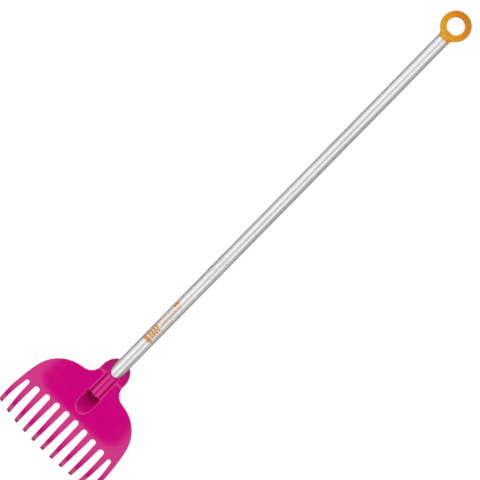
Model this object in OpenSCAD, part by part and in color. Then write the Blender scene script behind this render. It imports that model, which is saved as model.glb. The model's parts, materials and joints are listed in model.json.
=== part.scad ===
// Sand rake for a child: a moulded plastic head with eleven curled tines on an aluminium tube,
// with a hanging ring plugged into the tube's upper end.
// The rake lies on the ground with its tines down. +Y runs from the head to the ring and +Z is up.
// Lengths along the tube are counted from the ring's centre towards the tines.

/* [Tube] */
// Outside diameter of the tube
tube_d = 24; // [20:0.5:28]
// Wall of the tube
tube_wall = 1.2; // [0.8:0.1:2]
// Length of the tube
tube_len = 850; // [400:1:1000]

/* [Hanging ring] */
// Outside diameter of the ring
ring_od = 54; // [50:1:66]
// Diameter of the hanging hole
ring_hole_d = 32; // [20:1:34]
// Thickness of the ring
ring_t = 14; // [10:0.5:16]
// Radius of the ring's rounded edges
ring_edge_r = 3; // [1:0.25:3.5]
// How far the collar shows below the ring's rim
collar_show = 5.4; // [3:0.2:12]
// Length of the plug inside the tube
plug_len = 36; // [20:1:60]
// Wall of the hollow plug
plug_wall = 2; // [1.5:0.1:3]

/* [Head plate] */
// Wall of the moulding
shell_t = 3.4; // [2.6:0.1:4]
// Height of the plate's top over the tube's axis
plate_rise = 15.6; // [15:0.1:18]
// Angle of the hood where the tube enters
hood_angle = 38; // [34:1:42]
// Radius of the bend from the hood to the plate
hood_bend_r = 15; // [8:1:20]
// Length of the flat top, from the hood's corner to where the tines' bend begins
plate_len = 74; // [70:1:90]
// Half width of the plate that is flat across
dome_flat = 40; // [30:1:50]
// How far the sides are turned down at the outer tines
side_drop = 6.7; // [4:0.1:10]

/* [Head outline] */
// Half width of the tab round the tube
tab_half = 26.25; // [25:0.25:30]
// How far the tab's rounded top reaches past its straight sides
tab_reach = 29.5; // [26:0.5:32]
// Radius of the hollow between the tab and the shoulder
neck_r = 22.3; // [20:0.1:24]
// Radius of the shoulder
shoulder_r = 66.4; // [64:0.2:69]
// Radius of the side below the shoulder
side_r = 219; // [200:1:240]

/* [Tines] */
// Distance between the tines
tine_spacing = 21.9; // [21:0.1:22.5]
// Width of a tine at its root
tine_root_w = 11.2; // [10:0.1:12.5]
// Width of a tine at its tip
tine_tip_w = 7; // [5:0.1:8]
// Radius of the gentle bend at the roots
root_bend_r = 163; // [150:1:180]
// Angle of the gentle bend
root_bend_angle = 25; // [20:1:28]
// Radius of the curl at the tips
curl_r = 59; // [56:1:62]
// Angle of the curl
curl_angle = 55; // [48:1:58]

/* [Socket] */
// Gap between the tube and its bore
tube_gap = 0.15; // [0.1:0.05:0.4]
// Wall of the bridge over the tube
bridge_wall = 1.55; // [1.4:0.05:2]
// Gap between the bridge and the plate beside it
bridge_gap = 0.3; // [0.2:0.05:0.5]
// How far the grooves beside the bridge stand in from its sides
bridge_tuck = 2.2; // [1.4:0.1:3]
// Wall of the trough under the tube
trough_wall = 2.6; // [2:0.1:3.2]
// Length of the bridge, from the hood's lip
bridge_len = 46; // [42:1:52]
// Length of the lip between the tube and the pocket
lip_len = 5; // [3:0.5:6]
// How far past the bridge the pocket keeps its full width
pocket_len = 19.6; // [18:0.2:22]

/* [Fixing screw] */
// Diameter of the screw's shank
screw_d = 3.9; // [3:0.1:5]
// Diameter of the screw's head
screw_head_d = 7.6; // [6:0.1:9]
// Height of the screw's head
screw_head_h = 2.6; // [2:0.1:3]
// Length of the shank
screw_len = 9; // [8:0.5:10]
// Diameter of the boss round the screw
boss_d = 13; // [12:0.5:15]
// How far the boss stands below the trough
boss_h = 2.4; // [1.5:0.1:4]
// Distance from the screw to the tube's lower end
screw_inset = 24; // [18:1:32]

/* [Labels] */
// Length of the clear label near the head
label_len = 89; // [40:1:110]
// Distance from that label's lower end to the head
label_gap = 52; // [30:1:80]
// Angle that it wraps round the tube
label_wrap = 190; // [90:5:300]
// Length of the upper label
upper_len = 46; // [30:1:60]
// Distance between the two labels
label_apart = 63; // [40:1:90]
// Angle that the upper label wraps round the tube
upper_wrap = 250; // [180:5:300]
// Angle from the tube's top to the upper label's middle, on the left
upper_turn = 80; // [60:5:100]
// Thickness of the labels
label_t = 0.12; // [0.1:0.01:0.3]

/* [Hidden] */
$fn = 96;
// How far a cut runs past what it cuts
over = 6;

// Places along the tube
tube_r = tube_d/2;
bore_r = tube_r - tube_wall;
ring_r = ring_od/2;
joint_at = ring_r + collar_show;
tube_end = joint_at + tube_len;
tube_set_back = 3;
bridge_end = tube_end + tube_set_back;
lip_at = bridge_end - bridge_len;
hood_slope = tan(hood_angle);
hood_at = lip_at - tube_r/hood_slope;
bend_at = hood_at + plate_rise/hood_slope + plate_len;

// Ring: rounded edge steps, straight part of the collar, and the plug's crush ribs
edge_steps = 5;
dome_steps = 12;
collar_straight = 4;
plug_gap = 0.35;
plug_floor = 3;
rib_gap = 0.05;
rib_w = 2;
rib_at_shares = [0.2, 0.55, 0.9];
plug_r = bore_r - plug_gap;
dome_at = joint_at - collar_straight;

// Socket: the bridge, the pocket and the trough round them
bridge_r = tube_r + tube_gap + bridge_wall;
pocket_half = bridge_r + bridge_gap;
groove_half = bridge_r - bridge_tuck;
trough_r = pocket_half + trough_wall;
pocket_at = bridge_end + pocket_len;
ramp_angle = 44;
ramp_gap = 0.3;
groove_depth = 1;
bridge_skin = 0.4;
// Upper end of the grooves, as [share of their half width, share of the pocket's towards the tines]
pocket_top_shares = [[1, 0], [0.75, 0], [0.25, 0.5], [0, 0.58]];
pocket_top_at = lip_at + lip_len - pocket_top_shares[2][1]*pocket_half;

// Screw from below, through the trough into the tube
screw_at = tube_end - screw_inset;
screw_clear = 0.15;
thread_clear = 0.05;
head_clear = 0.3;
seat_depth = 2.8;
boss_face = trough_r + boss_h;
seat = boss_face - seat_depth;
recess_w = 1.1;
recess_span = 4.4;
recess_depth = 1.4;
point_len = 1.6;
point_d = 2.2;
head_edge_share = 0.6;

// Profile of the sheet, as runs of [length or radius, turn, steps], from the hood's lower edge
hood_drop = 18.7;
hood_cut = hood_bend_r*tan(hood_angle/2);
profile_start = [hood_at - hood_drop/hood_slope, -hood_drop, hood_angle];
profile_runs = [
    [(plate_rise + hood_drop)/sin(hood_angle) - hood_cut, 0, 1],
    [hood_bend_r, -hood_angle, 5],
    [plate_len - hood_cut, 0, 1],
    [root_bend_r, -root_bend_angle, 7],
    [curl_r, -curl_angle, 11],
];
clip_rows = 9;

// Outline of the head's right side: the tab, then runs down to the root of the outer tine
tab_set = 14;
tab_at = hood_at + tab_set;
tab_steps = 16;
tab_side = 3.8;
shoulder_run = 9.6;
shoulder_angle = 10.85;
shoulder_turn = 65.4;
side_turn = 5.75;
outline_start = [tab_half, -tab_at, -90];
outline_runs = [
    [tab_side, 0, 1],
    [neck_r, 90 - shoulder_angle, 8],
    [shoulder_run, 0, 1],
    [shoulder_r, -shoulder_turn, 8],
    [side_r, -side_turn, 4],
];

// Labels: the gap that their glue fills, and where each starts along the tube
label_lift = 0.02;
label_at = tab_at - tab_reach - label_gap - label_len;
upper_at = label_at - label_apart - upper_len;

// Tines, from the middle one outwards, as shares of the pitch or of the root's width:
// each root's place across, its bow outwards and its hook back inwards, its width,
// and how much further down each slot starts than the middle ones
root_shares = [0, 1, 2, 3.01, 4.03, 4.87];
bow_shares = [0, 0, 0.01, 0.04, 0.096, 0.475];
hook_shares = [0, 0, 0.02, 0.08, 0.19, 0.406];
width_shares = [1, 1, 1, 1, 1, 0.875];
slot_drop_shares = [0, 0.055, 0.132, 0.265, 0.406];
tines = len(root_shares);
slot_set = 19.4;
root_set = 33;
slot_at = bend_at + slot_set;
root_at = bend_at + root_set;
slot_steps = 10;
side_steps = 5;

// The outer tines are shorter, so that all the tips reach the ground together
short_share = 0.15;
short_power = 2.6;
sheet_spare = 4;
outer_at = root_shares[tines - 1]*tine_spacing;
sheet_half = outer_at + tine_root_w/2 + 2*sheet_spare;
sheet_side_steps = 10;

// Points along runs of straights and arcs, each point as [first, second, heading]
function run_point(p, run, f) =
    run[1] == 0
    ? [p[0] + f*run[0]*cos(p[2]), p[1] + f*run[0]*sin(p[2]), p[2]]
    : let (r = run[0]*sign(run[1]), h = p[2] + f*run[1])
      [p[0] + r*(sin(h) - sin(p[2])), p[1] + r*(cos(p[2]) - cos(h)), h];
function run_points(p, runs, i = 0) =
    i == len(runs)
    ? []
    : concat(
        [for (k = [1:runs[i][2]]) run_point(p, runs[i], k/runs[i][2])],
        run_points(run_point(p, runs[i], 1), runs, i + 1)
      );
function chain(start, runs) = concat([start], run_points(start, runs));
function backwards(list) = [for (i = [len(list) - 1:-1:0]) list[i]];
function mirrored(list) = [for (p = backwards(list)) [-p[0], p[1]]];
function flat(lists) = [for (list = lists) each list];

// The sheet: its profile, the tips' shortening and the drop of the turned down sides
profile = chain(profile_start, profile_runs);
root_index = len([for (p = profile) if (p[0] <= root_at) p]) - 1;
root_point = profile[root_index];
tip_point = profile[len(profile) - 1];
function shortening(x) =
    1 - short_share*pow(abs(x)/outer_at, short_power);
function drop(x) = side_drop*pow(max(0, abs(x) - dome_flat)/(outer_at - dome_flat), 2);
function sheet_at(x, p, depth) =
    let (k = p[0] > root_point[0] ? shortening(x) : 1)
    [
        x,
        -root_point[0] - k*(p[0] - root_point[0]) - depth*sin(p[2]),
        root_point[1] + k*(p[1] - root_point[1]) - drop(x) - depth*cos(p[2]),
    ];
sheet_side = [for (k = [0:sheet_side_steps]) dome_flat + k*(sheet_half - dome_flat)/sheet_side_steps];
sheet_x = concat(
    [for (x = backwards(sheet_side)) -x],
    [-dome_flat/2, 0, dome_flat/2],
    sheet_side
);

// Tines in the outline: centre, half width and edge at share t of the way from root to tip
tine_len = tip_point[0] - root_at;
function tine_x(k, t) =
    tine_spacing*(root_shares[k] + bow_shares[k]*t - hook_shares[k]*t*t);
function tine_half(k, t) =
    (tine_root_w*width_shares[k]*(1 - t) + tine_tip_w*t)/2;
function tine_edge(k, side, t) =
    [tine_x(k, t) + side*tine_half(k, t), -root_at - t*tine_len];
last_t = 1 + over/tine_len;
function tine_side(k, side) =
    [for (i = [0:side_steps]) tine_edge(k, side, last_t*i/side_steps)];
function slot_arc(k) =
    let (
        x0 = tine_edge(k, 1, 0)[0],
        x1 = tine_edge(k + 1, -1, 0)[0],
        r = (x1 - x0)/2,
        y = -slot_at - slot_drop_shares[k]*tine_spacing - r
    )
    [for (i = [0:slot_steps]) let (a = 180*i/slot_steps) [(x0 + x1)/2 + r*cos(a), y + r*sin(a)]];
half_outline = concat(
    [for (i = [0:tab_steps - 1]) let (a = 90*i/tab_steps)
        [tab_half*sin(a), -tab_at + tab_reach*cos(a)]],
    chain(outline_start, outline_runs),
    tine_side(tines - 1, 1),
    flat([for (k = [tines - 2:-1:0])
        concat(backwards(tine_side(k + 1, -1)), slot_arc(k), tine_side(k, 1))])
);
outline = [for (p = concat(half_outline, mirrored(half_outline))) [p[0], p[1]]];

// Where each tine ends, as a share of the middle one's length, and the lowest point of its end
function tip_share(k) =
    let (end = sheet_at(tine_x(k, 1), tip_point, 0)) (-end[1] - root_at)/tine_len;
function tip_x(k) = tine_x(k, tip_share(k));
function tip_half(k) = tine_half(k, tip_share(k));
function tip_bottom(k) = sheet_at(tip_x(k), tip_point, shell_t);

// How the rake lies: on its tines' tips and on the collar of the ring
tip_low = tip_bottom(0);
lie_angle = atan((-tip_low[2] - tube_r)/(-tip_low[1] - dome_at));
function low_z(y, z) = -y*sin(lie_angle) + z*cos(lie_angle);
function low_y(y, z) = y*cos(lie_angle) + z*sin(lie_angle);
lift = -min(
    low_z(-dome_at, -tube_r),
    min([for (k = [0:tines - 1])
        let (p = tip_bottom(k)) low_z(p[1], p[2])])
);
tip_top = sheet_at(0, tip_point, 0);
tip_reach = min(low_y(tip_low[1], tip_low[2]), low_y(tip_top[1], tip_top[2]));
ring_reach = low_y(ring_r, ring_t/2 - ring_edge_r);

module laid() {
    translate([0, -(ring_reach + tip_reach)/2, lift]) rotate([-lie_angle, 0, 0]) children();
}

// Turns a shape drawn along Z so that it runs along the tube
module tubewise(at = 0) {
    translate([0, -at, 0]) rotate([90, 0, 0]) children();
}

// Turns a side view, drawn as [along the tube, up], into a slab across the rake
module slab(points, half) {
    translate([-half, 0, 0])
        rotate([90, 0, 90])
            linear_extrude(2*half) polygon([for (p = points) [-p[0], p[1]]]);
}

// A round-bottomed trough: a half circle below its axis and straight walls above
module trough(r, length, height) {
    linear_extrude(length) union() {
        circle(r);
        translate([-r, 0]) square([2*r, height]);
    }
}

module sheet() {
    nx = len(sheet_x);
    ns = len(profile);
    n = nx*ns;
    rim = concat(
        [for (i = [0:nx - 1]) i*ns],
        [for (j = [1:ns - 1]) (nx - 1)*ns + j],
        [for (i = [nx - 2:-1:0]) i*ns + ns - 1],
        [for (j = [ns - 2:-1:1]) j]
    );
    polyhedron(
        points = [for (depth = [0, shell_t], x = sheet_x, p = profile) sheet_at(x, p, depth)],
        faces = concat(
            [for (i = [0:nx - 2], j = [0:ns - 2], half = [0, 1])
                let (a = i*ns + j, b = a + ns) half == 0 ? [a, b, b + 1] : [a, b + 1, a + 1]],
            [for (i = [0:nx - 2], j = [0:ns - 2], half = [0, 1])
                let (a = n + i*ns + j, b = a + ns) half == 0 ? [a, b + 1, b] : [a, a + 1, b + 1]],
            [for (i = [0:len(rim) - 1], half = [0, 1])
                let (a = rim[i], b = rim[(i + 1)%len(rim)])
                half == 0 ? [b, a, a + n] : [b, a + n, b + n]]
        )
    );
}

// Everything under the sheet's top, from the hood to the pocket, at a given depth below it
module below_sheet(depth) {
    top = [for (j = [0:clip_rows - 1])
        let (p = sheet_at(0, profile[j], depth)) [-p[1], p[2]]];
    floor_z = -boss_face - over;
    slab(concat(top, [[top[clip_rows - 1][0], floor_z], [top[0][0], floor_z]]), trough_r + over);
}

// The pocket's ramp: a second trough, whose axis climbs out of the plate past the bridge
module ramp(r, length) {
    translate([0, -pocket_at, plate_rise])
        rotate([-ramp_angle, 0, 0])
            tubewise(-length)
                trough(r, length + pocket_half/sin(ramp_angle), length);
}

// A comb seen from the front, whose teeth round off the tines' tips
module tip_comb() {
    flare = tine_spacing/4;
    top_z = plate_rise + over;
    teeth = flat([for (k = [-tines + 1:tines - 1])
        let (
            x = sign(k)*tip_x(abs(k)),
            r = tip_half(abs(k)),
            z = tip_bottom(abs(k))[2] + r
        )
        concat(
            [[x - tine_spacing/2, z + flare]],
            [for (i = [0:slot_steps]) let (a = 180 + 180*i/slot_steps) [x + r*cos(a), z + r*sin(a)]],
            k == tines - 1 ? [[x + tine_spacing/2, z + flare]] : []
        )]);
    reach = sheet_half + over;
    side_z = teeth[0][1];
    rotate([90, 0, 0])
        linear_extrude(tip_point[0] + over)
            polygon(concat(
                [[-reach, top_z], [-reach, side_z]],
                teeth,
                [[reach, side_z], [reach, top_z]]
            ));
}

module head_shell() {
    intersection() {
        sheet();
        translate([0, 0, -boss_face - tine_len]) linear_extrude(2*boss_face + 2*tine_len) polygon(outline);
        tip_comb();
    }
}

module socket_block() {
    intersection() {
        tubewise(profile_start[0]) trough(trough_r, bend_at + root_set - profile_start[0], plate_rise);
        ramp(trough_r + ramp_gap, bend_at - profile_start[0]);
        below_sheet(shell_t/2);
    }
}

module pocket() {
    // Past the bridge
    intersection() {
        tubewise(bridge_end) trough(pocket_half, root_set + bend_at - bridge_end, plate_rise + over);
        ramp(pocket_half + ramp_gap, bend_at - profile_start[0]);
    }
    // Beside the bridge
    side = [for (p = pocket_top_shares)
        [groove_half*p[0], -pocket_top_at - pocket_half*p[1]]];
    translate([0, 0, -groove_depth])
        linear_extrude(plate_rise + groove_depth + over)
            polygon(concat(
                [[-groove_half, -bridge_end - groove_depth]],
                [for (p = side) [-p[0], p[1]]],
                backwards([for (i = [0:len(side) - 2]) side[i]]),
                [[groove_half, -bridge_end - groove_depth]]
            ));
}

module rake_head() {
    color([0.8, 0, 0.49]) laid() difference() {
        union() {
            difference() {
                union() {
                    head_shell();
                    socket_block();
                }
                pocket();
            }
            intersection() {
                tubewise(hood_at) cylinder(r = bridge_r, h = bridge_end - hood_at);
                below_sheet(bridge_skin);
            }
            translate([0, -screw_at, -boss_face]) cylinder(d = boss_d, h = boss_face - bridge_r);
        }
        tubewise(profile_start[0] - over)
            cylinder(r = tube_r + tube_gap, h = bridge_end + over - profile_start[0] + over);
        translate([0, -screw_at, -boss_face - over])
            cylinder(d = screw_head_d + 2*head_clear, h = seat_depth + over);
        translate([0, -screw_at, -boss_face])
            cylinder(d = screw_d + 2*screw_clear, h = boss_face - bore_r);
    }
}

module handle_tube() {
    color([0.8, 0.8, 0.82]) laid() difference() {
        tubewise(joint_at) cylinder(r = tube_r, h = tube_len);
        tubewise(joint_at - over) cylinder(r = bore_r, h = tube_len + 2*over);
        translate([0, -screw_at, -tube_r - over])
            cylinder(d = screw_d + 2*thread_clear, h = tube_r + over - bore_r/2);
    }
}

module hang_ring() {
    half_w = (ring_od - ring_hole_d)/4;
    middle = (ring_od + ring_hole_d)/4;
    corners = [
        [middle + half_w, ring_t/2, 0], [middle - half_w, ring_t/2, 90],
        [middle - half_w, -ring_t/2, 180], [middle + half_w, -ring_t/2, 270],
    ];
    section = [for (c = corners, i = [0:edge_steps])
        let (a = c[2] + 90*i/edge_steps)
        [
            c[0] + ring_edge_r*(cos(a) - sign(c[0] - middle)),
            c[1] + ring_edge_r*(sin(a) - sign(c[1])),
        ]];
    plug_end = joint_at + plug_len;
    body = concat(
        [for (i = [0:dome_steps]) let (a = 90*i/dome_steps) [tube_r*sin(a), dome_at - tube_r*cos(a)]],
        [[tube_r, joint_at], [plug_r, joint_at]],
        flat([for (share = rib_at_shares) let (at = joint_at + share*plug_len) [
            [plug_r, at - rib_w/2 - plug_gap], [bore_r - rib_gap, at - rib_w/2],
            [bore_r - rib_gap, at + rib_w/2], [plug_r, at + rib_w/2 + plug_gap],
        ]]),
        [[plug_r, plug_end], [plug_r - plug_wall, plug_end]],
        [[plug_r - plug_wall, joint_at + plug_floor], [0, joint_at + plug_floor]]
    );
    color([0.9, 0.53, 0.05]) laid() difference() {
        union() {
            rotate_extrude() polygon(section);
            tubewise() rotate_extrude() polygon(body);
        }
        cylinder(d = ring_hole_d, h = 2*tube_r + 2*over, center = true);
    }
}

module head_screw() {
    head_r = screw_head_d/2;
    shank_r = screw_d/2;
    color([0.75, 0.75, 0.72]) laid() translate([0, -screw_at, -seat]) difference() {
        rotate_extrude() polygon([
            [0, -screw_head_h], [head_r*head_edge_share, -screw_head_h],
            [head_r, -screw_head_h*head_edge_share], [head_r, 0], [shank_r, 0],
            [shank_r, screw_len - point_len], [point_d/2, screw_len], [0, screw_len],
        ]);
        for (turn = [0, 90])
            rotate([0, 0, turn])
                translate([-recess_span/2, -recess_w/2, -screw_head_h - over])
                    cube([recess_span, recess_w, recess_depth + over]);
    }
}

// A film round the tube, its middle turned to the left from the tube's top
module film(at, length, wrap, turn) {
    laid()
        tubewise(at)
            rotate([0, 0, 90 + turn - wrap/2])
                rotate_extrude(angle = wrap)
                    translate([tube_r + label_lift, 0]) square([label_t, length]);
}

module label_film() {
    color([0.93, 0.62, 0.35]) film(label_at, label_len, label_wrap, 0);
}

module upper_label_film() {
    color([0.85, 0.85, 0.85]) film(upper_at, upper_len, upper_wrap, upper_turn);
}

rake_head();
handle_tube();
hang_ring();
head_screw();
label_film();
upper_label_film();
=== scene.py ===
"""A sand rake: a moulded head with curled tines on an aluminium tube, with a hanging ring at its end.

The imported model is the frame. The head and the ring are built again as fine mouldings with rounded edges,
in the tube's own frame: x across the rake, s along the tube from the ring's centre towards the tines, z up.
The tube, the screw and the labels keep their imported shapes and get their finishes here.
All sizes are metres.
"""

import itertools
import json
import logging
import math
from dataclasses import dataclass, field
from enum import Enum
from typing import Any, Callable, NamedTuple, Sequence

import bpy
import numpy as np
from mathutils import Matrix, Vector


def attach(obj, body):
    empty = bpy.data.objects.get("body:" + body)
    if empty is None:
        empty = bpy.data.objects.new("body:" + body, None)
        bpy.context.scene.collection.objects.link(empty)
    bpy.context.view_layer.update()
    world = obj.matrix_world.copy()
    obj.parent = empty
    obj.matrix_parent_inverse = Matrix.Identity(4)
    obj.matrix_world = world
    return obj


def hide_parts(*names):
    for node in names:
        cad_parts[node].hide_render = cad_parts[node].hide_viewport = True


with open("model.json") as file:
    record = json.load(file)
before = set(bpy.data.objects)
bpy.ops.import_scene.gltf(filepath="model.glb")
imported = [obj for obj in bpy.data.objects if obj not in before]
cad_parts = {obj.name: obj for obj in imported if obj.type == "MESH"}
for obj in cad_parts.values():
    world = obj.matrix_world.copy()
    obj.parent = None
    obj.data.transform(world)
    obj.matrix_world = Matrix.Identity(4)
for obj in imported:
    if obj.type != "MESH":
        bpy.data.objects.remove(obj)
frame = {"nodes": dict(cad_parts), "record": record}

log = logging.getLogger("sand_rake")

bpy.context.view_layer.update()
BODY = "root"
Array = np.ndarray
Colour = tuple[float, float, float]
# Keeps a division off zero.
TINY = 1e-12
# The value that a noise swings round.
NOISE_MIDDLE = 0.5
# Among a Mix node's sockets: its factor and two colours, and the colour that it gives.
MIX_INPUTS, MIX_RESULT = (0, 6, 7), 2
# Lines that run along the tube are noise that is drawn out along Y.
LINE_STRETCH = (1.0, 0.012, 1.0)


class Node(Enum):
    """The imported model's nodes."""

    HEAD = "rake_head"
    TUBE = "handle_tube"
    RING = "hang_ring"
    SCREW = "head_screw"
    LABEL = "label_film"
    UPPER_LABEL = "upper_label_film"


class Slot(Enum):
    """The record's material slots of the pieces that are built again here."""

    HEAD = "head_plastic"
    RING = "ring_plastic"


# Frame of the tube


@dataclass(frozen=True)
class TubeFrame:
    """Where the tube's own frame lies in the row's frame.

    Attributes:
        ring_centre: Centre of the hanging ring.
        up: Direction of the ring's hole.
    """

    ring_centre: Vector
    up: Vector

    @classmethod
    def from_record(cls, record: dict[str, Any]) -> "TubeFrame":
        """Reads the frame off the hanging hole's mount.

        Args:
            record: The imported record.

        Returns:
            The tube's frame.
        """
        hole = next(m for m in record["mounts"] if m["name"] == "hang_hole")
        return cls(Vector(hole["pos_m"]), Vector(hole["axis"]).normalized())

    def matrix(self) -> Matrix:
        """Works out how the tube's frame lies in the row's.

        Returns:
            The matrix from (x, -s, z) to the row's frame.
        """
        across = Vector((1.0, 0.0, 0.0))
        along = self.up.cross(across)
        turn = Matrix((across, along, self.up)).transposed()
        return Matrix.Translation(self.ring_centre) @ turn.to_4x4()


# Distance fields: negative inside a shape, positive outside


def both(a: Array, b: Array, radius: float = 0.0) -> Array:
    """Returns the field of what two shapes share, its edge rounded by a radius."""
    rounded = np.hypot(np.maximum(a + radius, 0), np.maximum(b + radius, 0))
    return np.minimum(np.maximum(a, b), -radius) + rounded


def either(a: Array, b: Array, radius: float = 0.0) -> Array:
    """Returns the field of two shapes joined, with a fillet of a radius where they meet."""
    filleted = np.hypot(np.maximum(radius - a, 0), np.maximum(radius - b, 0))
    return np.maximum(np.minimum(a, b), radius) - filleted


def without(a: Array, b: Array, radius: float = 0.0) -> Array:
    """Returns the field of one shape with another cut out, the cut's rim rounded by a radius."""
    return both(a, -b, radius)


def trough(x: Array, z: Array, radius: float) -> Array:
    """Returns the field of a round-bottomed trough that is open at the top."""
    return np.where(z < 0, np.hypot(x, z), np.abs(x)) - radius


class Run(NamedTuple):
    """A straight or an arc of a side view or an outline.

    Attributes:
        size: Length of a straight, or radius of an arc.
        turn: Angle that an arc turns by, in degrees, positive to the left. A straight has none.
        steps: Points along the run.
    """

    size: float
    turn: float = 0.0
    steps: int = 1


class Place(NamedTuple):
    """A point of a chain of runs.

    Attributes:
        a: First coordinate.
        b: Second coordinate.
        heading: Heading of the chain there, in degrees from the first axis.
    """

    a: float
    b: float
    heading: float

    def after(self, run: Run, share: float = 1.0) -> "Place":
        """Follows a run that starts here.

        Args:
            run: The straight or the arc.
            share: How far along it, as a share of the whole.

        Returns:
            The place there.
        """
        start = math.radians(self.heading)
        if run.turn == 0:
            return Place(
                self.a + share * run.size * math.cos(start),
                self.b + share * run.size * math.sin(start),
                self.heading,
            )
        radius = math.copysign(run.size, run.turn)
        heading = self.heading + share * run.turn
        end = math.radians(heading)
        return Place(
            self.a + radius * (math.sin(end) - math.sin(start)),
            self.b + radius * (math.cos(start) - math.cos(end)),
            heading,
        )


@dataclass(frozen=True)
class Chain:
    """A smooth chain of straights and arcs.

    Attributes:
        start: Where it starts, and its heading there.
        runs: The straights and arcs in order.
    """

    start: Place
    runs: tuple[Run, ...]

    def end(self) -> Place:
        """Follows the whole chain.

        Returns:
            The place where it ends.
        """
        place = self.start
        for run in self.runs:
            place = place.after(run)
        return place

    def points(self) -> list[tuple[float, float]]:
        """Lists the points along the chain.

        Returns:
            The points, its start included.
        """
        place, points = self.start, [(self.start.a, self.start.b)]
        for run in self.runs:
            for k in range(1, run.steps + 1):
                at = place.after(run, k / run.steps)
                points.append((at.a, at.b))
            place = place.after(run)
        return points

    def height(self, a: Array, b: Array) -> Array:
        """Measures how far points lie to the left of the chain.

        Args:
            a: First coordinates of the points.
            b: Second coordinates of the points.

        Returns:
            The signed distance from the chain, positive on its left. Arcs turn right.
        """
        place, nearest, signed = self.start, None, None
        for run in self.runs:
            start = math.radians(place.heading)
            if run.turn == 0:
                da, db = a - place.a, b - place.b
                along = da * math.cos(start) + db * math.sin(start)
                left = db * math.cos(start) - da * math.sin(start)
                past = np.maximum(0, -along) + np.maximum(0, along - run.size)
            else:
                da = a - (place.a + run.size * math.sin(start))
                db = b - (place.b - run.size * math.cos(start))
                turned = start - np.arctan2(-da, db)
                left = np.hypot(da, db) - run.size
                whole = math.radians(-run.turn)
                past = run.size * (np.maximum(0, -turned) + np.maximum(0, turned - whole))
            distance = np.hypot(left, past)
            if nearest is None:
                nearest, signed = distance, np.copysign(distance, left)
            else:
                closer = distance < nearest
                nearest = np.where(closer, distance, nearest)
                signed = np.where(closer, np.copysign(distance, left), signed)
            place = place.after(run)
        return signed


def outline_field(points: Sequence[tuple[float, float]], x: Array, y: Array) -> Array:
    """Measures the distance to the right half of a symmetric outline.

    Args:
        points: The half outline from its top to its bottom, both ends near the middle line.
        x: Places across, none of them negative.
        y: Places along.

    Returns:
        The signed distance at each crossing of x and y, negative inside.
    """
    px, py = x[:, None], y[None, :]
    distance = np.full((x.size, y.size), np.inf, np.float32)
    inside = np.zeros(distance.shape, bool)
    # The ring's first line has no length, and its last one closes the middle tine past its tip.
    ring = [(0.0, points[0][1]), *points, (0.0, points[-1][1])]
    for index, ((ax, ay), (bx, by)) in enumerate(zip(ring, ring[1:])):
        dx, dy = bx - ax, by - ay
        if ay != by:
            crosses = (ay > py) != (by > py)
            inside ^= crosses & (px < ax + (py - ay) * dx / dy)
        if 0 < index < len(ring) - 2:
            share = np.clip(((px - ax) * dx + (py - ay) * dy) / (dx * dx + dy * dy), 0, 1)
            distance = np.minimum(distance, np.hypot(px - ax - share * dx, py - ay - share * dy))
    return np.where(inside, -distance, distance).astype(np.float32)


# From a field to a mesh


def add_object(name: str, data: bpy.types.ID) -> bpy.types.Object:
    """Makes an object and links it to the scene.

    Args:
        name: The object's name.
        data: Its mesh, light or camera.

    Returns:
        The new object.
    """
    item = bpy.data.objects.new(name, data)
    bpy.context.scene.collection.objects.link(item)
    return item


def read_out(items: Any, name: str, parts: int = 1, kind: type = np.float32) -> Array:
    """Reads one property of all items of a mesh.

    Args:
        items: The mesh's vertices, loops or polygons.
        name: The property.
        parts: How many numbers it has.
        kind: The numbers' type.

    Returns:
        One number per item, or one row per item where the property has parts.
    """
    values = np.empty(len(items) * parts, kind)
    items.foreach_get(name, values)
    return values.reshape(-1, parts) if parts > 1 else values


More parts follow.
